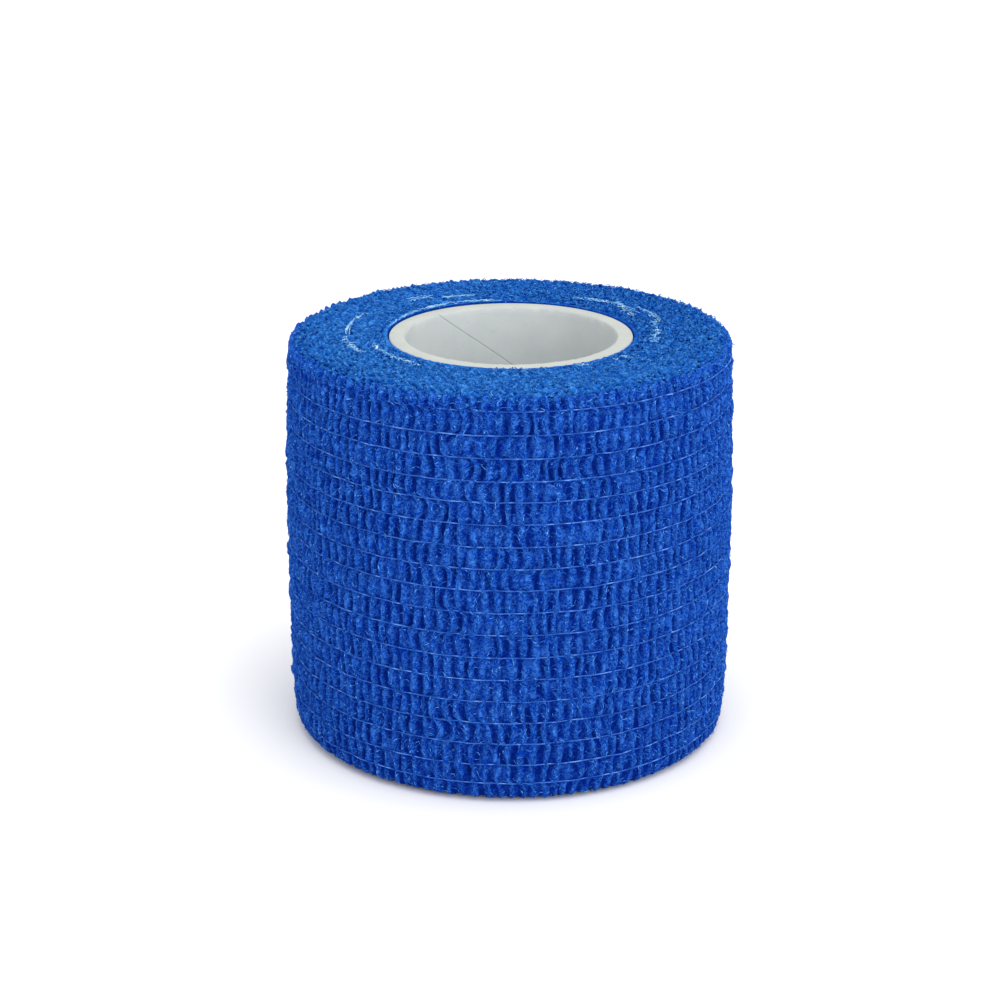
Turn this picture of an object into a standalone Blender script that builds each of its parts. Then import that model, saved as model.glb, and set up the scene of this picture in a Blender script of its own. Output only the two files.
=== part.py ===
# A roll of crinkled stretch bandage, wound on a paper tube and standing on one end.
# Blender 4.5, metres, +Z up. The origin is the centre of the lower end, at the surface it stands on.
# Two pieces: the wound cloth, and the paper tube that it is wound on.
import math
import random

import bpy

# Driving dimensions, in metres
TAPE_WIDTH = 0.0500          # width of the cloth tape, so the height of the standing roll
ROLL_RADIUS = 0.0272         # mean outer radius at mid height
LAYER = 0.00066              # thickness of one turn of the cloth on the roll
TUBE_RADIUS = 0.0148         # outer radius of the paper tube
TUBE_WALL = 0.0019           # thickness of the paper tube
TUBE_LENGTH = 0.0496         # the tube is cut a little shorter than the tape is wide
TUBE_BEVEL = 0.0003          # worn inner edge of the tube's rims
GAP = 0.0003                 # clearance between the tube and the innermost turn
BORE_RADIUS = TUBE_RADIUS + GAP

# The wound form
SHOULDER = 0.0016            # rounding where the outer turn folds over the upper end ...
SHOULDER_STEPS = 2           # ... and the spans along it
FOOT_SHOULDER = 0.0019       # the same at the lower end
FOOT_SHOULDER_STEPS = 3
TOP_NARROWING = 0.0007       # the roll is wound a little tighter at the top ...
FOOT_NARROWING = 0.0003      # ... and at the foot than at mid height
TAIL_ANGLE = math.radians(100)   # where the cloth ends, lying flat at the back of the roll

# Elastic threads run round the roll, and the cloth puffs out and crinkles in the bands between them
THREADS = 18
THREAD_PITCH = 0.00268
LOWEST_THREAD = 0.0024       # height of the lowest thread
THREAD_DIP = 0.00022         # how far a thread pulls the cloth in
BAND_PUFF = 0.00012          # how far the middle of a band stands out
RIB_DEPTH = 0.00034          # half the height of a crinkle, from valley to crest
RIB_LEAST = 0.45             # the shallowest crinkle, as a share of the depth
RIB_AT_THREAD = 0.35         # how much of a crinkle is left where a thread crosses it
RIB_AT_SHOULDER = 0.60       # how much of a crinkle reaches the rounded shoulder

# The upper end: the turns' edges sink a little towards the tube, and stand up and down round the roll
END_DISH = 0.0003            # how far the innermost turn's edge lies below the outermost one's
END_RINGS = 3                # rings between the bore and the shoulder at which the end rises and falls
END_WAVE = 0.00022           # how far the turns' edges stand up or down
WAVES_ROUND = (3, 5)         # long rises and falls in one turn

COLUMNS = 120                # steps round the roll, so half as many crinkles
TUBE_STEPS = 72              # steps round the tube
SEED = 7

MERGE = 0.00001
SMOOTH_ANGLE = math.radians(35)


def clear_scene():
    for obj in list(bpy.data.objects):
        bpy.data.objects.remove(obj, do_unlink=True)


def make_material(name, color, roughness):
    material = bpy.data.materials.new(name)
    material.use_nodes = True
    shader = material.node_tree.nodes["Principled BSDF"]
    shader.inputs["Base Color"].default_value = (*color, 1.0)
    shader.inputs["Roughness"].default_value = roughness
    shader.inputs["Metallic"].default_value = 0.0
    return material


def turn_profile(name, points, steps, collection):
    """Turns a closed profile of (radius, height) points about Z, and returns a real mesh object."""
    mesh = bpy.data.meshes.new(name + "_profile")
    corners = [(radius, 0.0, height) for radius, height in points]
    edges = [(i, (i + 1) % len(points)) for i in range(len(points))]
    mesh.from_pydata(corners, edges, [])
    profile = bpy.data.objects.new(name + "_profile", mesh)
    bpy.context.scene.collection.objects.link(profile)
    screw = profile.modifiers.new("turn", "SCREW")
    screw.axis = "Z"
    screw.angle = 2 * math.pi
    screw.steps = steps
    screw.render_steps = steps
    screw.use_merge_vertices = True
    screw.merge_threshold = MERGE
    bpy.context.view_layer.update()
    evaluated = profile.evaluated_get(bpy.context.evaluated_depsgraph_get())
    turned = bpy.data.objects.new(name, bpy.data.meshes.new_from_object(evaluated))
    turned.data.name = name
    collection.objects.link(turned)
    bpy.data.objects.remove(profile, do_unlink=True)
    return turned


def finish(obj, material):
    obj.data.materials.clear()
    obj.data.materials.append(material)
    obj.data.shade_smooth()
    obj.data.set_sharp_from_angle(angle=SMOOTH_ANGLE)


def wall_radius(height):
    """Outer radius at a height: widest in the middle, a little narrower at the top than at the foot."""
    from_middle = 2 * height / TAPE_WIDTH - 1
    narrowing = TOP_NARROWING if from_middle > 0 else FOOT_NARROWING
    return ROLL_RADIUS - narrowing * from_middle ** 2


def thread_heights():
    return [LOWEST_THREAD + i * THREAD_PITCH for i in range(THREADS)]


def wall_heights():
    """Heights of the wall's rings, top to bottom: each thread, and the middle of each band between two."""
    threads = thread_heights()
    middles = [(low + high) / 2 for low, high in zip(threads, threads[1:])]
    return sorted(threads + middles, reverse=True)


def end_radii():
    """Radii of the rings on the upper end, from the bore outwards, as far as the shoulder."""
    flat_edge = wall_radius(TAPE_WIDTH - SHOULDER) - SHOULDER
    step = (flat_edge - BORE_RADIUS) / (END_RINGS + 1)
    return [BORE_RADIUS + step * i for i in range(END_RINGS + 1)]


def end_height(radius):
    """Height of the upper end: level at the shoulder, and sinking towards the tube."""
    flat_edge = ROLL_RADIUS - SHOULDER
    return TAPE_WIDTH - END_DISH * (flat_edge - radius) / (flat_edge - BORE_RADIUS)


def end_rise(radius, angle):
    """How far the turns' edges stand up or down at one point of the upper end."""
    few, many = WAVES_ROUND
    ring = round(radius / LAYER)
    slow = math.sin(few * angle + ring)
    quick = math.sin(many * angle + 2.0 * ring)
    return END_WAVE * (slow + quick) / 2


def roll_profile():
    """The roll's section: out along the upper end, down the wall, in along the foot, and up the bore."""
    top_arc = [math.pi / 2 * i / SHOULDER_STEPS for i in range(SHOULDER_STEPS)]
    foot_arc = [math.pi / 2 * i / FOOT_SHOULDER_STEPS for i in range(FOOT_SHOULDER_STEPS)]
    top_centre = wall_radius(TAPE_WIDTH - SHOULDER) - SHOULDER
    foot_centre = wall_radius(FOOT_SHOULDER) - FOOT_SHOULDER
    points = [(radius, end_height(radius)) for radius in end_radii()]
    points += [
        (top_centre + SHOULDER * math.sin(a), TAPE_WIDTH - SHOULDER + SHOULDER * math.cos(a))
        for a in top_arc
    ]
    points += [(wall_radius(height), height) for height in wall_heights()]
    points += [
        (foot_centre + FOOT_SHOULDER * math.sin(a), FOOT_SHOULDER - FOOT_SHOULDER * math.cos(a))
        for a in reversed(foot_arc)
    ]
    points += [(BORE_RADIUS, 0.0)]
    return points


def crinkle_table(rows):
    """For each row of the wall, the outward shift of each column: crests and valleys in turn, uneven."""
    chance = random.Random(SEED)
    columns = [chance.uniform(RIB_LEAST, 1.0) for _ in range(COLUMNS)]
    table = []
    for _ in range(rows):
        row = []
        for column in range(COLUMNS):
            side = 1 if column % 2 else -1
            depth = (columns[column] + chance.uniform(RIB_LEAST, 1.0)) / 2
            row.append(side * RIB_DEPTH * depth)
        table.append(row)
    return table


def spiral_growth(angle):
    """How far the outer turn stands off its mean radius: farthest out at its hidden end."""
    from_tail = ((angle - TAIL_ANGLE) % (2 * math.pi)) / (2 * math.pi)
    return LAYER * (0.5 - from_tail)


def wall_shift(height, column, crinkles, threads):
    """Outward shift of the cloth at one point of the wall."""
    nearest = min(range(THREADS), key=lambda i: abs(threads[i] - height))
    away = abs(threads[nearest] - height)
    band = sum(1 for thread in threads if thread < height)
    if height < threads[0] - MERGE or height > threads[-1] + MERGE:
        return crinkles[band][column] * RIB_AT_SHOULDER
    if away < MERGE:
        return crinkles[nearest][column] * RIB_AT_THREAD - THREAD_DIP
    return crinkles[band][column] + BAND_PUFF


def crinkle_roll(roll):
    """Moves the turned solid's points, so that the wall is ribbed and the upper end is uneven."""
    threads = thread_heights()
    crinkles = crinkle_table(THREADS + 1)
    last_ring = end_radii()[-1]
    for vertex in roll.data.vertices:
        x, y, height = vertex.co
        radius, angle = math.hypot(x, y), math.atan2(y, x)
        if radius < last_ring + MERGE:
            if height > TAPE_WIDTH / 2:
                vertex.co.z += end_rise(radius, angle)
            continue
        column = round(angle / (2 * math.pi) * COLUMNS) % COLUMNS
        on_flat = height < MERGE or height > TAPE_WIDTH - MERGE
        shift = spiral_growth(angle)
        shift += 0.0 if on_flat else wall_shift(height, column, crinkles, threads)
        vertex.co.x += shift * math.cos(angle)
        vertex.co.y += shift * math.sin(angle)


def make_roll(collection, material):
    roll = turn_profile("bandage_roll", roll_profile(), COLUMNS, collection)
    crinkle_roll(roll)
    finish(roll, material)


def make_tube(collection, material):
    """The paper tube, open right through, with its rims' inner edges worn off."""
    inner = TUBE_RADIUS - TUBE_WALL
    profile = [
        (inner + TUBE_BEVEL, TUBE_LENGTH),
        (TUBE_RADIUS, TUBE_LENGTH),
        (TUBE_RADIUS, 0.0),
        (inner + TUBE_BEVEL, 0.0),
        (inner, TUBE_BEVEL),
        (inner, TUBE_LENGTH - TUBE_BEVEL),
    ]
    tube = turn_profile("paper_tube", profile, TUBE_STEPS, collection)
    finish(tube, material)


def main():
    clear_scene()
    collection = bpy.data.collections.new("cohesive_bandage_roll")
    bpy.context.scene.collection.children.link(collection)
    cloth = make_material("blue_crepe_cloth", (0.010, 0.082, 0.420), 0.92)
    paper = make_material("white_paper_board", (0.70, 0.71, 0.68), 0.75)
    make_roll(collection, cloth)
    make_tube(collection, paper)


main()
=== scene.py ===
import math
import random

import bmesh
import bpy
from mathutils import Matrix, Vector, noise


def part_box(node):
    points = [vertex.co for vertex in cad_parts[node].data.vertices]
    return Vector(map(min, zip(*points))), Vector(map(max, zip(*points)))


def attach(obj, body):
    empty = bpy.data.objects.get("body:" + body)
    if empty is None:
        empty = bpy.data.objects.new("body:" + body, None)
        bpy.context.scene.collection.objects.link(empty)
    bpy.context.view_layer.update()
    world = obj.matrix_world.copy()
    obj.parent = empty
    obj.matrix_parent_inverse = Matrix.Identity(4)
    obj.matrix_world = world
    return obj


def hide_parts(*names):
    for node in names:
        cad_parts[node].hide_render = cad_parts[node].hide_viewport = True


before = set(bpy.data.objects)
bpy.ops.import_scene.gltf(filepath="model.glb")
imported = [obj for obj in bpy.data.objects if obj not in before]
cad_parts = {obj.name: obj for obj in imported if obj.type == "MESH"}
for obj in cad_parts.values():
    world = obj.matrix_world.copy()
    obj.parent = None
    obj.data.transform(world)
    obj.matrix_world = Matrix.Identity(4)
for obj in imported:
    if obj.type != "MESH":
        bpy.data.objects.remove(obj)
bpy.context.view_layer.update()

tubeLow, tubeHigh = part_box("paper_tube")

# the tape and how it is wound, in metres, and shared by every piece of cloth
tape = {
    "width": 0.0500,
    "rollRadius": 0.0272,         # outer face of the outer turn, at mid height
    "layer": 0.00066,             # from one turn to the next
    "boreRadius": tubeHigh.x + 0.00008,
    "endAngle": math.radians(100),     # where the cloth ends, flat against the back
    # heights of the elastic threads in mm, which aren't quite evenly spaced, and their mean spacing
    "threads": (2.5, 4.9, 7.6, 10.3, 13.0, 15.75, 18.55, 21.35, 24.1,
                26.85, 29.45, 32.1, 34.8, 37.45, 39.9, 42.6, 45.25, 48.0),
    "threadPitch": 0.00268,
    "shoulder": 0.0016,           # radius over which the upper edge turns in
    "footShoulder": 0.0019,       # and the lower edge
    "topNarrowing": 0.0007,       # the roll is this much narrower at the top than at mid height
    "footNarrowing": 0.0003,      # and at the foot
    "dish": 0.0003,               # the upper end sinks this far towards the tube
    "leftDip": 0.00030,           # and the upper edges of the outer turns at the left
    "clear": 0.00004,             # the outer turn stays this far above the floor
    "smoothAngle": math.radians(80),
}
threadHeights = [height * 0.001 for height in tape["threads"]]
turn = 2 * math.pi


def deselectAll():
    if bpy.context.object and bpy.context.object.mode != "OBJECT":
        bpy.ops.object.mode_set(mode="OBJECT")
    bpy.ops.object.select_all(action="DESELECT")


def wallRadius(height):
    # mean outer radius of the roll at a height
    fromMiddle = 2 * height / tape["width"] - 1
    narrowing = tape["topNarrowing"] if fromMiddle > 0 else tape["footNarrowing"]
    return tape["rollRadius"] - narrowing * fromMiddle ** 2


def woundRadius(wound, height):
    # outer face of the cloth, for an angle counted along the tape inwards from its outer end
    middle = tape["rollRadius"] + tape["layer"] * (0.5 - wound / turn)
    share = (wallRadius(height) - tape["boreRadius"]) / (tape["rollRadius"] - tape["boreRadius"])
    return tape["boreRadius"] + (middle - tape["boreRadius"]) * share


def onRoll(wound, radius, height):
    # a point on the roll, for an angle counted along the tape
    angle = tape["endAngle"] + wound
    return Vector((radius * math.cos(angle), radius * math.sin(angle), height))


def triangleCount(piece):
    return sum(len(face.vertices) - 2 for face in piece.data.polygons)


def addGrid(name, columns, rows, placePoint):
    # a flat grid, whose points then go where the wound cloth has them, each with its own tone and painted
    # shade
    deselectAll()
    bpy.ops.mesh.primitive_grid_add(x_subdivisions=columns, y_subdivisions=rows, size=1)
    piece = bpy.context.object
    piece.name = piece.data.name = name
    tone_and_painted_shade = piece.data.attributes.new("tone_and_painted_shade", "FLOAT", "POINT")
    for vertex in piece.data.vertices:
        column = round((vertex.co.x + 0.5) * columns)
        row = round((vertex.co.y + 0.5) * rows)
        vertex.co, tone_and_painted_shade.data[vertex.index].value = placePoint(column, row)
    return piece


def closeMesh(piece):
    # joins the meeting edges, caps what is open, turns the faces outwards and smooths the cloth
    deselectAll()
    piece.select_set(True)
    bpy.context.view_layer.objects.active = piece
    bpy.ops.object.mode_set(mode="EDIT")
    bpy.ops.mesh.select_all(action="SELECT")
    bpy.ops.mesh.remove_doubles(threshold=0.000002)
    bpy.ops.mesh.fill_holes(sides=0)
    bpy.ops.mesh.quads_convert_to_tris(quad_method="BEAUTY", ngon_method="BEAUTY")
    bpy.ops.mesh.normals_make_consistent(inside=False)
    bpy.ops.object.mode_set(mode="OBJECT")
    bpy.ops.object.shade_smooth_by_angle(angle=tape["smoothAngle"])


print("outer turn of the cloth")

crinkle = {
    "ribsPerTurn": 122,
    "tuckedRibs": 2,              # ribs that lie under the cloth's end
    "pointsPerRib": 8,
    "rowsPerBand": 5,
    "ribHeight": 0.00030,         # a rib is this much higher than the cloth beside it
    "crests": (0.5, 1.15),        # the lowest and the highest rib, as shares of that
    "ribAtThread": 0.65,          # share that is left where a thread crosses a rib
    "pocketDepth": 0.00034,       # and the folds between two ribs sink this far, between two threads
    "pocketShares": (0.3, 0.5, 0.7, 0.85, 1.0, 1.15),
    "pocketWidth": (0.24, 0.36),  # half the width of a fold, in widths of a rib
    "pocketMiddle": (0.42, 0.58),       # its middle, as a share of the way up the band
    "pocketReach": (0.40, 0.58),  # and how far it goes up and down from there
    "pocketAtThread": 0.13,       # share of the fold that is left at a thread
    "atFoot": 0.30,               # share of both that is left at the lower edge
    "footBands": 1.5,             # which begins this many bands up
    "puff": 0.00006,              # the cloth stands out between two threads
    "threadDip": 0.00005,         # and is drawn in by them
    "sway": 0.85,                 # how far a few ribs stray together, in widths of a rib
    "swayEvery": (0.13, 1.1),     # steps through the noise for each rib, and for each band
    "wander": 0.16,               # and each rib by itself
    "slant": 0.24,                # and within a band
    "bow": 0.16,
    "lean": 0.12,                 # how far a crest leans over sideways
    "handover": 0.15,             # share of a band over which a rib takes up its next course
    "creaseDepth": 0.00030,       # smaller creases between and across the ribs
    "creaseWidth": 0.00042,
    "creaseLength": 0.0020,
    "lump": 0.00016,
    "lumpSize": 0.00042,
    "shade": 0.42,                # 0 is the darkest cloth, and 1 the lightest
    "heightShade": 1780,                 # painted shade: the cloth is painted this much lighter for each metre that it stands out, and darker in the folds
    "grooveShadow": 0.10,           # painted shadow: how much darker in the grooves that the threads lie in
    "footTint": 0.16,             # painted shade: and how much darker towards the foot, fading out over the lowest bands
    "footTintBands": 7,
    "fray": 0.00020,              # how ragged the upper cut edge is
    "fraySize": 0.0007,
    "frayShade": 0.30,            # and how much lighter
    "lipTurn": math.radians(42),  # how far the upper edge curls in over the end
    "footTurn": math.radians(72),
    "footLift": 0.00035,          # the lower edge stands this much off the floor at the left
    "lip": (0.00030, 0.00012),    # from the cut edge to the hidden side of the cloth: inwards, and back
    "hidden": (0.004, 0.003),     # where the hidden side begins, from the foot and from the top
    "hiddenShade": 0.4,
    "thickness": 0.00080,
    "seed": 11,
}
bands = len(threadHeights) + 1
ribsLong = crinkle["ribsPerTurn"] + crinkle["tuckedRibs"]
ribAngle = turn / crinkle["ribsPerTurn"]


def makeRibs():
    # how each rib stands and strays: a row for each band, and a column for each rib
    chance = random.Random(crinkle["seed"])
    acrossRibs, acrossBands = crinkle["swayEvery"]
    ribs = []
    for band in range(bands):
        row = []
        for rib in range(ribsLong + 2):
            sway = crinkle["sway"] * noise.noise(Vector((rib * acrossRibs, band * acrossBands, 8)))
            free = min(1, rib / 4)    # the cut end of the cloth is straight
            row.append({
                "drift": (sway + crinkle["wander"] * chance.uniform(-1, 1)) * free,
                "slant": crinkle["slant"] * chance.uniform(-1, 1) * free,
                "bow": crinkle["bow"] * chance.uniform(-1, 1) * free,
                "crest": chance.uniform(*crinkle["crests"]),
                "lean": crinkle["lean"] * chance.uniform(-1, 1),
            })
        ribs.append(row)
    return ribs


def makePockets():
    # the folds between the ribs: a row for each band, and a column for the near side of each rib
    chance = random.Random(crinkle["seed"] + 1)
    pockets = []
    for band in range(bands):
        row = []
        for rib in range(ribsLong + 2):
            row.append({
                "depth": chance.choice(crinkle["pocketShares"]) * min(1, (rib + 1) / 4),
                "width": chance.uniform(*crinkle["pocketWidth"]),
                "middle": chance.uniform(*crinkle["pocketMiddle"]),
                "reach": chance.uniform(*crinkle["pocketReach"]),
            })
        pockets.append(row)
    return pockets


ribs = makeRibs()
pockets = makePockets()


def straying(rib, row, share):
    # sideways place, crest height and lean of one rib, for a share of the way up one band
    shape = ribs[row][rib]
    drift = shape["drift"] + shape["slant"] * (share - 0.5) + shape["bow"] * math.sin(math.pi * share)
    return drift, shape["crest"], shape["lean"]


def ribAt(rib, band):
    # a rib changes its course at each thread, where two bands meet
    row = min(int(band), bands - 1)
    share = band - row
    near = crinkle["handover"]
    own = straying(rib, row, share)
    if share < near and row > 0:
        other, weight = straying(rib, row - 1, 1 + share), 0.5 - share / (2 * near)
    elif share > 1 - near and row < bands - 1:
        other, weight = straying(rib, row + 1, share - 1), 0.5 - (1 - share) / (2 * near)
    else:
        return own
    return tuple(mine * (1 - weight) + theirs * weight for mine, theirs in zip(own, other))


def pocketAt(rib, away, band):
    # depth of one fold, for a distance from its middle in ribs
    row = min(int(band), bands - 1)
    pocket = pockets[row][rib]
    across = max(0.0, 1 - (away / pocket["width"]) ** 2)
    along = max(0.0, 1 - ((band - row - pocket["middle"]) / pocket["reach"]) ** 2) ** 0.6
    if row == 0:
        along = max(along, min(1, (1 - band) * 2))
    if row == bands - 1:
        along = max(along, min(1, (band - row) * 2))
    return across * max(along * pocket["depth"], crinkle["pocketAtThread"])


def leftDip(spot):
    # how far the outer turns' upper edges lie below the others, at the left side alone
    across = math.hypot(spot.x, spot.y)
    return tape["leftDip"] * max(0.0, -spot.x / across) ** 2 * min(1, max(0.0, (across - 0.0225) / 0.004))


def acrossTape(band):
    # height, distance turned in and slope of the cloth, for a place across the tape in bands
    if 1 <= band <= bands - 1:
        thread = min(int(band), bands - 2)
        low, high = threadHeights[thread - 1:thread + 1]
        return low + (band - thread) * (high - low), 0.0, 0.0
    if band > bands - 1:
        up, share, start = 1, band - (bands - 1), threadHeights[-1]
        shoulder, turned = tape["shoulder"], crinkle["lipTurn"]
        straight = tape["width"] - shoulder - start
    else:
        up, share, start = -1, 1 - band, threadHeights[0]
        shoulder, turned = tape["footShoulder"], crinkle["footTurn"]
        straight = start - shoulder
    along = share * (straight + shoulder * turned)
    slope = max(0.0, along - straight) / shoulder
    rise = min(along, straight) + shoulder * math.sin(slope)
    return start + up * rise, shoulder * (1 - math.cos(slope)), up * slope


def clothPoint(rib, across, band, lift=0.0):
    # a point on the outer turn and its tone with painted shade, for a rib, a place across it and a place up
    # the bands
    rib += math.floor(across)
    across -= math.floor(across)
    rib = max(0, min(ribsLong - 1, rib))
    swell = math.sin(math.pi * (band % 1)) ** 0.7
    fromEdge = min(band, bands - band)
    if fromEdge < 1:
        swell = math.cos(fromEdge * math.pi / 2) ** 0.7
    ridge = math.sin(math.pi * across) ** 5
    drift, crest, lean = ribAt(rib, band)
    nextDrift = ribAt(rib + 1, band)[0]
    place = rib + drift * (1 - across) + (1 + nextDrift) * across + lean * ridge
    height, inwards, slope = acrossTape(band)
    wound = place * ribAngle
    radius = woundRadius(wound, height)
    spot = onRoll(wound, radius, height)
    creaseSpot = Vector((wound * radius / crinkle["creaseWidth"], height / crinkle["creaseLength"], 3))
    crease = noise.noise(creaseSpot)
    lump = noise.noise(spot / crinkle["lumpSize"])
    pocket = max(pocketAt(rib, across, band), pocketAt(rib + 1, 1 - across, band))
    crest *= crinkle["ribAtThread"] + (1 - crinkle["ribAtThread"]) * swell
    out = crinkle["ribHeight"] * crest * ridge - crinkle["pocketDepth"] * pocket
    out += crinkle["creaseDepth"] * crease + crinkle["lump"] * lump
    out += crinkle["puff"] * swell - crinkle["threadDip"] * (1 - swell)
    # painted shade: lighter where the cloth stands out, darker in the folds
    shade = crinkle["shade"] + crinkle["heightShade"] * out
    # painted shadow of each thread, in its groove
    if swell == 0:
        shade -= crinkle["grooveShadow"]
    # painted shade towards the foot, near the floor
    shade -= crinkle["footTint"] * max(0.0, 1 - band / crinkle["footTintBands"])
    if band < crinkle["footBands"]:
        out *= crinkle["atFoot"] + (1 - crinkle["atFoot"]) * band / crinkle["footBands"]
    out = max(out, -crinkle["thickness"] + 0.0001) + lift
    if band < 1:
        height += crinkle["footLift"] * (1 - band) * max(0.0, -spot.x / radius)
    if band > bands - 1:
        share = (band - bands + 1) ** 2
        ragged = noise.noise(spot / crinkle["fraySize"]) + ridge
        height += share * (crinkle["fray"] * ragged - leftDip(spot))
        shade += crinkle["frayShade"] * share
    height = max(tape["clear"], height + out * math.sin(slope))
    return onRoll(wound, radius - inwards + out * math.cos(slope), height), shade


def makeOuterTurn():
    columns = ribsLong * crinkle["pointsPerRib"]
    faceRows = bands * crinkle["rowsPerBand"]
    hiddenRows = 5                # over the upper lip, down inside, and out under the lower lip
    lipIn, lipBack = crinkle["lip"]
    hiddenFoot, hiddenTop = crinkle["hidden"]

    def placePoint(column, row):
        rib, step = divmod(column, crinkle["pointsPerRib"])
        across = step / crinkle["pointsPerRib"]
        if row <= faceRows:
            return clothPoint(rib, across, row / crinkle["rowsPerBand"])
        inside = row - faceRows
        if inside == hiddenRows:
            return clothPoint(rib, across, 0.0)
        upper = inside <= 2
        edge, shade = clothPoint(rib, across, bands if upper else 0)
        angle = math.atan2(edge.y, edge.x)
        radius = math.hypot(edge.x, edge.y) - lipIn
        height = edge.z + (-lipBack if upper else lipBack)
        if inside in (2, 3):
            height = tape["width"] - hiddenTop if upper else hiddenFoot
            radius = woundRadius((rib + across) * ribAngle, height) - crinkle["thickness"]
        place = Vector((radius * math.cos(angle), radius * math.sin(angle), height))
        return place, shade * crinkle["hiddenShade"]

    cloth = addGrid("outer_turn", columns, faceRows + hiddenRows, placePoint)
    closeMesh(cloth)
    return cloth


outerTurn = makeOuterTurn()
print("  triangles", triangleCount(outerTurn))

print("inner turns and the two ends")

edges = {
    "startAngle": turn * 0.985,   # where this piece goes on under the outer turn
    "step": 0.00030,              # from one column of points to the next
    "ribLength": 0.0014,
    "ribUneven": (3, 300),        # how much the ribs' spacing varies, and how often in a metre
    "thickness": 0.00052,
    "wiggle": 0.00022,            # how far the ribs stray in and out
    "wiggleUneven": (0.6, 2500),
    "wave": (0.00012, 120),       # rise and fall of the edges, and how often in a metre
    "bump": (0.00030, 1100),
    "crumple": (0.00034, 0.00072),      # how far the edges are crumpled, and the size of a crumple
    "fineCrumple": (0.00012, 0.00028),
    "crumpledTo": 0.001,          # how far down from the edge
    "shadeDepth": 0.00075,        # the shade goes from darkest to lightest over this height
    "sideShade": 0.25,            # and darker on its two sides
    "darker": 0.42,               # painted shade: the cut edges are a little darker on one side of the roll
    "darkAngle": math.radians(35),
    "looseAngle": math.radians(112),    # the innermost turn stands off the tube here
    "looseWidth": math.radians(50),
    "looseGap": 0.00054,
    "looseShade": 0.3,            # how much lighter it is there
    "gapShade": 1.2,              # how much darker it is inside that gap
    "inmostGap": 0.00005,         # between that turn and the tube elsewhere
    "flatFrom": 0.0249,           # the lower end is flat inside this radius
    # across the edge: inwards, below the crown
    "crown": ((0.0, 0.0030), (0.0, 0.00050), (0.10, 0.00012), (0.34, 0.0),
              (0.66, 0.0), (0.90, 0.00012), (1.0, 0.00050), (1.0, 0.0030)),
    "foot": ((1.0, 0.0012), (0.93, 0.00005), (0.5, 0.0), (0.07, 0.00005), (0.0, 0.0012)),
    "seed": 5,
}


def endHeight(radius):
    # level of the upper end: sinks towards the tube, and rounds off at the outside
    flatEdge = wallRadius(tape["width"]) - tape["shoulder"]
    share = max(0.0, (flatEdge - radius) / (flatEdge - tape["boreRadius"]))
    height = tape["width"] - tape["dish"] * share
    past = radius - flatEdge
    if past > 0:
        past = min(past, tape["shoulder"] * 0.98)   # stops short of upright
        height += math.sqrt(tape["shoulder"] ** 2 - past ** 2) - tape["shoulder"]
    return height


def unevenness(along, often, row):
    # smooth noise for a length of tape, in a row of its own for each use
    return noise.noise(Vector((along * often, row, 0)))


def crumpled(point):
    # how far one point of an edge is pushed out of its place
    shift = Vector((0, 0, 0))
    for depth, size in (edges["crumple"], edges["fineCrumple"]):
        shift += noise.noise_vector(point / size) * depth
    return shift


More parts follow.
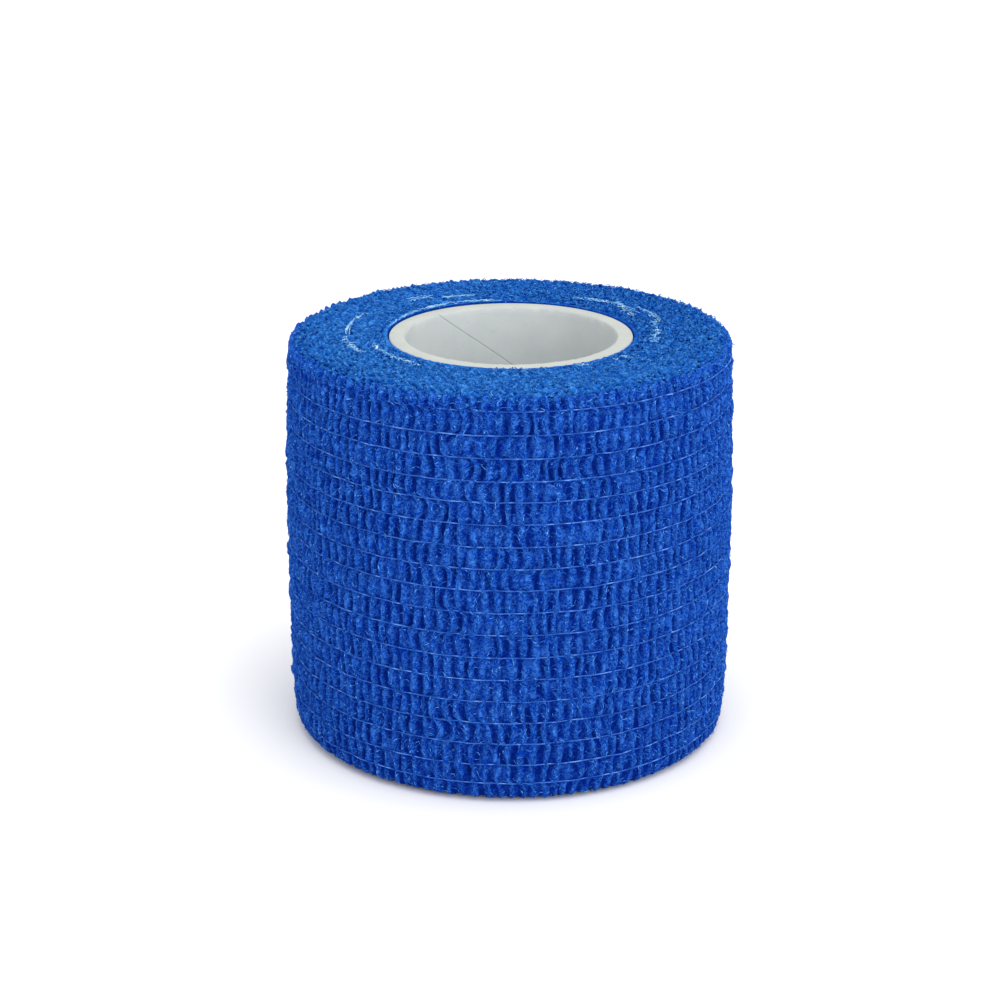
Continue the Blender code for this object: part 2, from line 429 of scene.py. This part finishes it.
def makeInnerTurns():
    noise.seed_set(edges["seed"])       # noise_vector differs from run to run without it
    outerRadius = woundRadius(edges["startAngle"], tape["width"])
    innerRadius = tape["boreRadius"] + edges["thickness"]
    share = (wallRadius(tape["width"]) - tape["boreRadius"]) / (tape["rollRadius"] - tape["boreRadius"])
    layer = tape["layer"] * share
    pitch = layer / turn
    length = (outerRadius ** 2 - innerRadius ** 2) / (2 * pitch)
    columns = int(length / edges["step"])
    profile = edges["crown"] + edges["foot"]

    def windIn(along):
        # angle and radius for a length of tape inwards from the outer turn, and the turns left to the tube
        wound = (outerRadius - math.sqrt(outerRadius ** 2 - 2 * pitch * along)) / pitch
        radius = outerRadius - pitch * wound
        turnsLeft = (radius - innerRadius) / layer
        # the last turn lies along the tube, and the three before it close up to it
        radius -= layer * (turnsLeft if turnsLeft < 1 else max(0.0, (4 - turnsLeft) / 3))
        return wound + edges["startAngle"], radius, turnsLeft

    def placePoint(column, row):
        row %= len(profile)
        along = column * edges["step"]
        inwards, below = profile[row]
        onFace = below < edges["crumpledTo"]
        upper = row < len(edges["crown"])
        wound, radius, turnsLeft = windIn(along)
        angle = tape["endAngle"] + wound

        # how loose the innermost turn is here, and how smooth the last turns are
        away = math.remainder(angle - edges["looseAngle"], turn) / edges["looseWidth"]
        loose = min(1.0, max(0.0, 2 - turnsLeft)) * math.exp(-away * away)
        inmost = min(1.0, max(0.0, 1.6 - turnsLeft) * 2)
        calm = 1 - 0.8 * min(1.0, max(0.0, 2.6 - turnsLeft) / 1.6)

        uneven, often = edges["ribUneven"]
        phase = turn * along / edges["ribLength"] + uneven * unevenness(along, often, 0)
        uneven, often = edges["wiggleUneven"]
        wiggle = edges["wiggle"] * (math.sin(phase) + uneven * unevenness(along, often, 5))
        (wave, waveOften), (bump, bumpOften) = edges["wave"], edges["bump"]
        lift = wave * unevenness(along, waveOften, 9)
        lift += bump * unevenness(along, bumpOften, 3) + 0.3 * bump * math.cos(phase)
        lift *= calm

        level = endHeight(radius - inwards * edges["thickness"])
        if upper:
            height = level + lift - (below * (1 - 0.8 * inmost) if onFace else below)
        else:
            height = tape["width"] - endHeight(max(radius, edges["flatFrom"]))
            height += below * (1 - 0.8 * inmost) if onFace else below
        radius += wiggle * (1 - 0.8 * inmost) + edges["looseGap"] * loose - inwards * edges["thickness"]
        radius += edges["inmostGap"] * inmost
        point = onRoll(wound, radius, height)
        if upper:
            point.z -= leftDip(point)
        if onFace:
            shift = crumpled(point)
            if not upper:
                shift.z = abs(shift.z)
            point += shift * (1 - 0.85 * inmost)

        shade = 0.5 + (point.z - level) / edges["shadeDepth"]
        if inwards < 0.05 or inwards > 0.95:
            shade -= edges["sideShade"]
        # painted shade on one side of the roll
        shade -= edges["darker"] * (0.5 + 0.5 * math.cos(angle - edges["darkAngle"])) ** 2
        shade += edges["looseShade"] * loose
        if inwards == 1 and upper:
            shade -= edges["gapShade"] * loose
        return point, shade

    cloth = addGrid("inner_turns", columns, len(profile), placePoint)
    closeMesh(cloth)
    return cloth


innerTurns = makeInnerTurns()
print("  triangles", triangleCount(innerTurns))

print("elastic threads")

threadShape = {
    "radius": 0.00007,
    "pointsPerRib": 4,
    "lift": 0.00010,              # how far a thread stands out of the wound form
    "unevenness": 0.00020,
    "wavesPerRadian": 14,
    "buried": 0.00026,            # the top thread lies deeper, above all at the left
    "raised": 0.00006,            # each lies this much above its height in the list
    "sway": 0.00005,
    "seed": 23,
}


def addStrands(name, strands, radius):
    # thin strands from lists of points, as one mesh
    deselectAll()
    curve = bpy.data.curves.new(name, "CURVE")
    curve.dimensions = "3D"
    curve.bevel_depth = radius
    curve.bevel_resolution = 0
    curve.use_fill_caps = True
    for points in strands:
        spline = curve.splines.new("POLY")
        spline.points.add(len(points) - 1)
        for target, point in zip(spline.points, points):
            target.co = (*point, 1)
    piece = bpy.data.objects.new(name, curve)
    bpy.context.scene.collection.objects.link(piece)
    piece.select_set(True)
    bpy.context.view_layer.objects.active = piece
    bpy.ops.object.convert(target="MESH")
    piece = bpy.context.object
    piece.data.name = name
    bpy.ops.object.shade_smooth()
    return piece


def makeThreads():
    strands = []
    for thread, height in enumerate(threadHeights):
        points = []
        for step in range(crinkle["ribsPerTurn"] * threadShape["pointsPerRib"] + 1):
            wound = step / threadShape["pointsPerRib"] * ribAngle
            spot = Vector((wound * threadShape["wavesPerRadian"], thread * 7.3, threadShape["seed"]))
            out = threadShape["lift"] + threadShape["unevenness"] * noise.noise(spot)
            if height == threadHeights[-1]:
                out -= threadShape["buried"] * (0.4 - math.cos(tape["endAngle"] + wound))
            sway = threadShape["sway"] * noise.noise(spot * 0.7 + Vector((0, 0, 40)))
            level = height + (threadShape["raised"] + sway)
            points.append(onRoll(wound, woundRadius(wound, height) + out, level))
        strands.append(points)
    return addStrands("elastic_threads", strands, threadShape["radius"])


threads = makeThreads()
print("  triangles", triangleCount(threads))

print("fibres")

fuzz = {
    # the two kinds on the wall: how many, usual length, steps along one, radius, seed
    "wall_fibres": (9400, 0.0007, 2, 0.000034, 31),
    "wall_curls": (4200, 0.0013, 3, 0.000030, 34),
    "wallLengths": (0.5, 1.4),    # shortest and longest, in usual lengths
    "besideCrest": 0.17,          # how far they lie from the crest of a rib, in widths of a rib
    "ribWidth": 0.0014,
    "slanted": 0.8,               # how far they turn from upright, in radians
    "bend": 1.3,                  # and then bend at each step
    "wallLift": (0.00002, 0.00006),     # how far they stand off the cloth: everywhere, and in their middle
    # those on the cut edges
    "endCount": 9400,
    "endLength": 0.0006,
    "endLengths": (0.6, 1.4),
    "endRadius": 0.000043,
    "endRise": (0.1, 0.7),        # how steeply they start
    "endSink": (0.8, 1.4),        # and how much less so after each step
    "endBend": (0.8, 2.0),
    "endDepth": (-0.00008, 0.00010),
    "endSeed": 32,
}


def makeWallFibres(name):
    # curls that lie along the ribs
    count, usualLength, steps, radius, seed = fuzz[name]
    liftAll, liftMiddle = fuzz["wallLift"]
    chance = random.Random(seed)
    strands = []
    for _ in range(count):
        rib = chance.randrange(1, crinkle["ribsPerTurn"] - 1)
        across = chance.gauss(0.5, fuzz["besideCrest"])
        band = chance.uniform(0.1, bands - 0.02)
        heading = turn / 4 + chance.gauss(0, fuzz["slanted"])
        bendBy = chance.uniform(-fuzz["bend"], fuzz["bend"])
        length = usualLength * chance.uniform(*fuzz["wallLengths"])
        points = []
        for step in range(steps + 1):
            lift = liftAll + liftMiddle * (0 < step < steps) * chance.uniform(0.3, 1.3)
            point, _ = clothPoint(rib, across, min(band, bands - 0.001), lift)
            points.append(point)
            across += math.cos(heading) * length / steps / fuzz["ribWidth"]
            band = max(0.01, band + math.sin(heading) * length / steps / tape["threadPitch"])
            heading += bendBy
        strands.append(points)
    return addStrands(name, strands, radius)


def makeEndFibres():
    # curls that stand out of the cut edges
    chance = random.Random(fuzz["endSeed"])
    inside = tape["boreRadius"] + 0.0006
    outside = wallRadius(tape["width"]) + tape["layer"] * 0.1
    strands = []
    for _ in range(fuzz["endCount"]):
        radius = math.sqrt(chance.uniform(inside ** 2, outside ** 2))
        angle = chance.uniform(0, turn)
        heading = chance.uniform(0, turn)
        rise = chance.uniform(*fuzz["endRise"])
        length = fuzz["endLength"] * chance.uniform(*fuzz["endLengths"])
        bendBy = chance.choice((-1, 1)) * chance.uniform(*fuzz["endBend"])
        point = Vector((radius * math.cos(angle), radius * math.sin(angle), endHeight(radius)))
        point.z += chance.uniform(*fuzz["endDepth"]) - leftDip(point)
        points = [point.copy()]
        for _ in range(2):
            point += Vector((math.cos(heading), math.sin(heading), rise)) * length / 2
            heading += bendBy
            rise -= chance.uniform(*fuzz["endSink"])
            points.append(point.copy())
        strands.append(points)
    return addStrands("end_fibres", strands, fuzz["endRadius"])


wallFibres = makeWallFibres("wall_fibres")
wallCurls = makeWallFibres("wall_curls")
endFibres = makeEndFibres()
print("  triangles", triangleCount(wallFibres), triangleCount(wallCurls), triangleCount(endFibres))

# pale fibres along some of the turns: first and last radius in mm, first and last angle in degrees,
# and how many long ones and curls
paleRuns = (
    (19.9, 19.9, 155, 192, 11, 10),
    (20.1, 20.1, 188, 209, 3, 26),
    (17.5, 18.0, 198, 237, 1, 42),
    (19.4, 18.8, 133, 123, 3, 5),
    (18.3, 17.9, 122, 116, 3, 4),
    (17.9, 18.8, 66, 51, 4, 8),
    (19.1, 16.8, 47, 27, 2, 34),
    (19.3, 18.6, 37, 9, 4, 8),
    (17.9, 17.6, 15, -16, 3, 40),
    (17.4, 17.2, -34, -46, 0, 10),
    (16.6, 16.4, -55, -62, 0, 6),
    (15.3, 15.45, 142, 118, 4, 3),
    (15.45, 15.4, 118, 96, 4, 2),
    (15.1, 15.25, 170, 142, 4, 2),
)
paleShape = {
    "radius": 0.000032,
    "spread": 0.00014,            # how far they stray from the run's radius
    "step": 0.00022,
    "longSteps": (12, 22),        # fewest steps in one, and one more than the most
    "curlSteps": (3, 6),
    "longSway": 0.12,             # how far a step turns from the last, in radians
    "curlSway": 0.9,
    "lift": 0.00012,              # off the cut edges
    "liftUneven": 0.0002,
    "seed": 33,
}


def paleStrand(chance, run, isLong):
    # one strand: a long one follows the turns, and a curl wanders off
    near, far, first, last = run
    start = chance.uniform(0, 0.6 if isLong else 1)
    angle = math.radians(first + (last - first) * start)
    radius = (near + (far - near) * start) * 0.001 + chance.gauss(0, paleShape["spread"])
    steps = chance.randrange(*paleShape["longSteps" if isLong else "curlSteps"])
    sway = paleShape["longSway" if isLong else "curlSway"]
    place = Vector((radius * math.cos(angle), radius * math.sin(angle), 0))
    drift = 0 if isLong else chance.gauss(0, 0.8)
    points = []
    for _ in range(steps):
        height = endHeight(math.hypot(place.x, place.y)) + paleShape["lift"]
        points.append(place + Vector((0, 0, height + chance.uniform(0, paleShape["liftUneven"]))))
        alongTurn = math.atan2(place.y, place.x) + math.copysign(turn / 4, last - first)
        heading = alongTurn + drift + chance.gauss(0, sway)
        place = place + Vector((math.cos(heading), math.sin(heading), 0)) * paleShape["step"]
        drift += 0 if isLong else chance.uniform(-0.7, 0.7)
    return points


def makePaleStrands():
    chance = random.Random(paleShape["seed"])
    strands = []
    for *run, longOnes, curls in paleRuns:
        for number in range(longOnes + curls):
            strands.append(paleStrand(chance, run, number < longOnes))
    return addStrands("pale_strands", strands, paleShape["radius"])


paleStrands = makePaleStrands()
print("  triangles", triangleCount(paleStrands))

print("paper tube")

tubeShape = {
    "sides": 320,
    "wall": 0.0019,
    "innerEdge": 0.00018,         # worn rounding of the rims, inside
    "outerEdge": 0.00012,         # and outside
    "sound": 0.0008,              # the wear ends this far from the rim
    "wear": 0.00006,              # how ragged the rims are
    "wearSize": 0.0006,
    "stepAngle": math.radians(-89.5),  # where the outer ply ends
    "stepDepth": 0.00020,
}


def selectIn(piece, what, wanted):
    # in edit mode: selects the faces or edges for which wanted is true
    bpy.ops.mesh.select_all(action="DESELECT")
    bpy.ops.mesh.select_mode(type="FACE" if what == "faces" else "EDGE")
    mesh = bmesh.from_edit_mesh(piece.data)
    for element in getattr(mesh, what):
        element.select_set(wanted(element))
    bmesh.update_edit_mesh(piece.data)


def rimEdge(radius):
    # tells the edges that run round a rim, at a radius
    def wanted(edge):
        return all(abs(math.hypot(corner.co.x, corner.co.y) - radius) < 0.0001 for corner in edge.verts) \
            and abs(edge.verts[0].co.z - edge.verts[1].co.z) < 0.0001
    return wanted


def makeTube():
    outer, length = tubeHigh.x, tubeHigh.z - tubeLow.z
    inner = outer - tubeShape["wall"]
    deselectAll()
    bpy.ops.mesh.primitive_cylinder_add(vertices=tubeShape["sides"], radius=outer, depth=length,
                                        location=(0, 0, (tubeHigh.z + tubeLow.z) / 2))
    tube = bpy.context.object
    tube.name = tube.data.name = "wound_paper_tube"
    bpy.ops.object.mode_set(mode="EDIT")
    selectIn(tube, "faces", lambda face: abs(face.normal.z) > 0.9)
    bpy.ops.mesh.inset(thickness=tubeShape["wall"], use_individual=True)
    bpy.ops.mesh.bridge_edge_loops()
    selectIn(tube, "edges", rimEdge(inner))
    bpy.ops.mesh.bevel(offset=tubeShape["innerEdge"], segments=3)
    selectIn(tube, "edges", rimEdge(outer))
    bpy.ops.mesh.bevel(offset=tubeShape["outerEdge"], segments=2)
    for height in (tubeLow.z + tubeShape["sound"], tubeHigh.z - tubeShape["sound"]):
        bpy.ops.mesh.select_all(action="SELECT")
        bpy.ops.mesh.bisect(plane_co=(0, 0, height), plane_no=(0, 0, 1))
    bpy.ops.mesh.select_all(action="SELECT")
    bpy.ops.mesh.normals_make_consistent(inside=False)
    bpy.ops.object.mode_set(mode="OBJECT")
    bpy.ops.object.transform_apply()

    worn = tube.vertex_groups.new(name="worn")
    for vertex in tube.data.vertices:
        across = math.hypot(vertex.co.x, vertex.co.y)
        around = math.remainder(math.atan2(vertex.co.y, vertex.co.x) - tubeShape["stepAngle"], turn)
        if across < inner + tubeShape["innerEdge"] * 1.1:
            worn.add([vertex.index], 1.0 if across > inner + 0.00001 else 0.0, "REPLACE")
        elif across > outer - 0.0004 and 0 < around < math.pi:
            shrink = 1 - tubeShape["stepDepth"] * math.exp(-around * 1.2) / outer
            vertex.co.x *= shrink
            vertex.co.y *= shrink
    grain = bpy.data.textures.new("rim_wear", "CLOUDS")
    grain.noise_scale = tubeShape["wearSize"]
    displace = tube.modifiers.new("wear", "DISPLACE")
    displace.texture = grain
    displace.texture_coords = "LOCAL"
    displace.vertex_group = "worn"
    displace.mid_level = 0.5
    displace.strength = tubeShape["wear"] * 2
    bpy.ops.object.modifier_apply(modifier="wear")
    bpy.ops.object.shade_smooth_by_angle(angle=math.radians(50))
    return tube


paperTube = makeTube()
print("  triangles", triangleCount(paperTube))

print("materials")


def startMaterial(name):
    material = bpy.data.materials.new(name)
    material.use_nodes = True
    tree = material.node_tree
    return material, tree, tree.nodes["Principled BSDF"]


def addNode(tree, kind, settings=(), inputs=()):
    node = tree.nodes.new("ShaderNode" + kind)
    for name, value in dict(settings).items():
        setattr(node, name, value)
    for name, value in dict(inputs).items():
        if isinstance(value, bpy.types.NodeSocket):
            tree.links.new(value, node.inputs[name])
        else:
            node.inputs[name].default_value = value
    return node


def calc(tree, operation, *values):
    # one math node
    return addNode(tree, "Math", {"operation": operation}, dict(enumerate(values))).outputs[0]


def addRamp(tree, factor, stops):
    ramp = addNode(tree, "ValToRGB", inputs={"Fac": factor})
    elements = ramp.color_ramp.elements
    while len(elements) < len(stops):
        elements.new(0.5)
    for element, (position, color) in zip(elements, stops):
        element.position = position
        element.color = (*color, 1)
    return ramp.outputs["Color"]


def mixColors(tree, how, factor, first, second):
    mix = addNode(tree, "Mix", {"data_type": "RGBA", "blend_type": how})
    for socket, value in zip((mix.inputs[0], mix.inputs[6], mix.inputs[7]), (factor, first, second)):
        if isinstance(value, bpy.types.NodeSocket):
            tree.links.new(value, socket)
        else:
            socket.default_value = value
    return mix.outputs[2]


# colours that the painted shade picks, from the darkest in the valleys to the lightest on the crests, and
# of the fibres; grain in noise cells for each metre
clothLooks = {
    "crinkled_cloth": {
        "dark": (0.0, 0.013, 0.250),
        "middle": (0.0006, 0.028, 0.325),
        "light": (0.0025, 0.051, 0.440),
        "fibre": (0.052, 0.235, 0.830),
        "grain": 3000,
        "contrast": 1.5,
        "bumpHeight": 0.00022,
    },
    "cut_cloth_edges": {
        "dark": (0.0002, 0.038, 0.310),
        "middle": (0.0045, 0.088, 0.450),
        "light": (0.021, 0.172, 0.590),
        "fibre": (0.075, 0.300, 0.690),
        "grain": 1800,
        "contrast": 1.3,
        "bumpHeight": 0.00014,
    },
}
strandLooks = {
    "elastic_thread": {
        "colors": ((0.014, 0.080, 0.41), (0.050, 0.175, 0.64), (0.14, 0.34, 0.84)),
        "grain": 900,
        "specular": 0.03,
    },
    "wall_fibre": {
        "colors": ((0.001, 0.045, 0.38), (0.026, 0.19, 0.76), (0.16, 0.48, 0.98)),
        "grain": 2600,
        "specular": 0.02,
    },
    "wall_curl": {
        "colors": ((0.002, 0.055, 0.42), (0.034, 0.21, 0.78), (0.20, 0.52, 1.00)),
        "grain": 2600,
        "specular": 0.02,
    },
    "end_fibre": {
        "colors": ((0.002, 0.070, 0.38), (0.028, 0.19, 0.57), (0.11, 0.38, 0.74)),
        "grain": 2200,
        "specular": 0.02,
    },
    "pale_fibre": {
        "colors": ((0.16, 0.46, 0.80), (0.40, 0.71, 0.92), (0.68, 0.90, 1.0)),
        "grain": 900,
        "specular": 0.05,
    },
}


def curlyLines(tree, coords, scale, width):
    # thin wandering lines, where a smooth noise passes its middle value
    wave = addNode(tree, "TexNoise", inputs={"Vector": coords, "Scale": scale, "Detail": 1.5,
                                             "Distortion": 1.2})
    away = calc(tree, "ABSOLUTE", calc(tree, "SUBTRACT", wave.outputs["Fac"], 0.5))
    return addNode(tree, "MapRange", inputs={"Value": away, "From Min": 0.0, "From Max": width,
                                             "To Min": 1.0, "To Max": 0.0}).outputs["Result"]


def crepeMaterial(name):
    look = clothLooks[name]
    grain, contrast = look["grain"], look["contrast"]
    material, tree, shader = startMaterial(name)
    coords = addNode(tree, "TexCoord").outputs["Object"]
    tone_and_painted_shade = addNode(tree, "Attribute", {"attribute_name": "tone_and_painted_shade"}).outputs["Fac"]
    patches = addNode(tree, "TexNoise", inputs={"Vector": coords, "Scale": grain, "Detail": 3,
                                                "Roughness": 0.65}).outputs["Fac"]
    mottle = calc(tree, "MULTIPLY_ADD", patches, contrast, -contrast / 2)
    # the tone with painted shade carried by the mesh, plus random mottling, picks the colour
    tone = calc(tree, "ADD", tone_and_painted_shade, mottle)
    color = addRamp(tree, tone, ((0.0, look["dark"]), (0.4, look["middle"]), (1.0, look["light"])))
    long = curlyLines(tree, coords, grain * 0.33, 0.060)
    short = curlyLines(tree, coords, grain * 0.63, 0.085)
    lines = calc(tree, "MAXIMUM", long, short)
    bright = addNode(tree, "MapRange", inputs={"Value": tone, "From Min": 0.0, "From Max": 1.0,
                                               "To Min": 0.10, "To Max": 0.90}).outputs["Result"]
    color = mixColors(tree, "MIX", calc(tree, "MULTIPLY", lines, bright), color, (*look["fibre"], 1))
    tree.links.new(color, shader.inputs["Base Color"])
    height = calc(tree, "MULTIPLY_ADD", lines, 0.6, patches)
    bump = addNode(tree, "Bump", inputs={"Height": height, "Strength": 1.0, "Distance": look["bumpHeight"]})
    tree.links.new(bump.outputs["Normal"], shader.inputs["Normal"])
    shader.inputs["Roughness"].default_value = 0.9
    shader.inputs["Specular IOR Level"].default_value = 0.01
    shader.inputs["Sheen Weight"].default_value = 0.03
    shader.inputs["Sheen Roughness"].default_value = 0.5
    shader.inputs["Sheen Tint"].default_value = (0.05, 0.40, 1.0, 1)
    return material


def strandMaterial(name):
    look = strandLooks[name]
    material, tree, shader = startMaterial(name)
    coords = addNode(tree, "TexCoord").outputs["Object"]
    patches = addNode(tree, "TexNoise", inputs={"Vector": coords, "Scale": look["grain"], "Detail": 1})
    color = addRamp(tree, patches.outputs["Fac"], tuple(zip((0.34, 0.58, 0.70), look["colors"])))
    tree.links.new(color, shader.inputs["Base Color"])
    shader.inputs["Roughness"].default_value = 0.7
    shader.inputs["Specular IOR Level"].default_value = look["specular"]
    return material


paperLook = {
    "innerDark": (0.585, 0.620, 0.624),
    "innerLight": (0.636, 0.670, 0.672),
    "rimDark": (0.410, 0.430, 0.405),
    "rimLight": (0.455, 0.475, 0.445),
    "seamColor": (0.45, 0.465, 0.465),
    "seamAngle": math.radians(135),    # where the inner ply's seam meets the upper rim
    "seamDrop": 0.060,            # how far it comes down in one turn
    "seamWidth": 0.00022,
    "cloud": 260,                 # noise cells for each metre: of the shading,
    "specks": 3200,               # of the specks
    "pulp": 2500,                 # and of the fine relief
}


def seamLine(tree, coords, inner):
    # 1 along the helix where two edges of the inner ply meet, and 0 away from it
    place = addNode(tree, "SeparateXYZ", inputs={"Vector": coords})
    angle = calc(tree, "ARCTAN2", place.outputs["Y"], place.outputs["X"])
    drop = calc(tree, "MULTIPLY_ADD", place.outputs["Z"], -turn / paperLook["seamDrop"],
                turn * tubeHigh.z / paperLook["seamDrop"] - paperLook["seamAngle"])
    around = calc(tree, "WRAP", calc(tree, "ADD", angle, drop), -math.pi, math.pi)
    away = calc(tree, "ABSOLUTE", around)
    half = paperLook["seamWidth"] / 2 / inner
    return addNode(tree, "MapRange", inputs={"Value": away, "From Min": half * 0.4, "From Max": half * 1.9,
                                             "To Min": 1.0, "To Max": 0.0}).outputs["Result"]


def paperMaterial(name, dark, light, seam):
    material, tree, shader = startMaterial(name)
    coords = addNode(tree, "TexCoord").outputs["Object"]
    cloud = addNode(tree, "TexNoise", inputs={"Vector": coords, "Scale": paperLook["cloud"],
                                              "Detail": 4}).outputs["Fac"]
    color = addRamp(tree, cloud, ((0.3, dark), (0.7, light)))
    speck = addNode(tree, "TexNoise", inputs={"Vector": coords, "Scale": paperLook["specks"],
                                              "Detail": 1}).outputs["Fac"]
    specks = addRamp(tree, speck, ((0.70, (1, 1, 1)), (0.76, (0.72, 0.73, 0.72))))
    color = mixColors(tree, "MULTIPLY", 0.35, color, specks)
    height = addNode(tree, "TexNoise", inputs={"Vector": coords, "Scale": paperLook["pulp"],
                                               "Detail": 4}).outputs["Fac"]
    if seam:
        line = seamLine(tree, coords, tubeHigh.x - tubeShape["wall"])
        color = mixColors(tree, "MIX", line, color, (*paperLook["seamColor"], 1))
        height = calc(tree, "MULTIPLY_ADD", line, -3.0, height)
    tree.links.new(color, shader.inputs["Base Color"])
    bump = addNode(tree, "Bump", inputs={"Height": height, "Strength": 0.4, "Distance": 0.00003})
    tree.links.new(bump.outputs["Normal"], shader.inputs["Normal"])
    shader.inputs["Roughness"].default_value = 0.7
    shader.inputs["Specular IOR Level"].default_value = 0.3
    return material


def dress(piece, *materials):
    piece.data.materials.clear()
    for material in materials:
        piece.data.materials.append(material)


dress(outerTurn, crepeMaterial("crinkled_cloth"))
dress(innerTurns, crepeMaterial("cut_cloth_edges"))
dress(threads, strandMaterial("elastic_thread"))
dress(wallFibres, strandMaterial("wall_fibre"))
dress(wallCurls, strandMaterial("wall_curl"))
dress(endFibres, strandMaterial("end_fibre"))
dress(paleStrands, strandMaterial("pale_fibre"))
dress(paperTube, paperMaterial("white_paper", paperLook["innerDark"], paperLook["innerLight"], True),
      paperMaterial("cut_board_edge", paperLook["rimDark"], paperLook["rimLight"], False))
# the cut ends of the board
for face in paperTube.data.polygons:
    face.material_index = 1 if abs(face.normal.z) > 0.5 else 0

for piece in (outerTurn, innerTurns, threads, wallFibres, wallCurls, endFibres, paleStrands):
    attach(piece, "root")
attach(paperTube, "root")
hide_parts("bandage_roll")
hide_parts("paper_tube")

print("floor, lights and camera")

studio = {
    "floorSize": 6.0,
    "floorColor": (0.90, 0.90, 0.90),
    "worldStrength": 1.0,
    # place, size and power of each soft light
    "lights": {
        "top_softbox": ((0.10, -0.15, 0.9), 0.7, 4.0),
        "front_fill": ((0.5, -0.8, 0.35), 0.6, 2.5),
    },
    "cameraPlace": (0.0, -0.28173, 0.12810),
    "cameraTarget": (-0.001323, 0.0, 0.028264),
    "cameraRoll": 0.001,
    "lens": 86.55,
}


def makeFloor():
    deselectAll()
    bpy.ops.mesh.primitive_plane_add(size=studio["floorSize"])
    floor = bpy.context.object
    floor.name = "floor"
    material, _, shader = startMaterial("pale_floor")
    shader.inputs["Base Color"].default_value = (*studio["floorColor"], 1)
    shader.inputs["Roughness"].default_value = 0.9
    shader.inputs["Specular IOR Level"].default_value = 0.0
    floor.data.materials.append(material)


def makeLight(name, place, size, power):
    light = bpy.data.lights.new(name, "AREA")
    light.shape = "DISK"
    light.size = size
    light.energy = power
    lamp = bpy.data.objects.new(name, light)
    bpy.context.scene.collection.objects.link(lamp)
    lamp.location = place
    lamp.rotation_euler = (Vector((0, 0, 0.025)) - Vector(place)).to_track_quat("-Z", "Y").to_euler()


def makeStudio():
    world = bpy.data.worlds.new("studio")
    bpy.context.scene.world = world
    world.use_nodes = True
    background = world.node_tree.nodes["Background"]
    background.inputs["Color"].default_value = (1, 1, 1, 1)
    background.inputs["Strength"].default_value = studio["worldStrength"]
    for name, values in studio["lights"].items():
        makeLight(name, *values)
    bpy.context.scene.view_settings.view_transform = "Standard"


def makeCamera():
    camera = bpy.data.cameras.new("camera")
    camera.lens = studio["lens"]
    camera.sensor_width = 36
    eye = bpy.data.objects.new("camera", camera)
    bpy.context.scene.collection.objects.link(eye)
    eye.location = studio["cameraPlace"]
    look = Vector(studio["cameraTarget"]) - eye.location
    eye.rotation_euler = look.to_track_quat("-Z", "Y").to_euler()
    eye.rotation_euler.rotate_axis("Z", studio["cameraRoll"])
    camera.clip_start = 0.01
    camera.clip_end = 20
    bpy.context.scene.camera = eye


makeFloor()
makeStudio()
makeCamera()
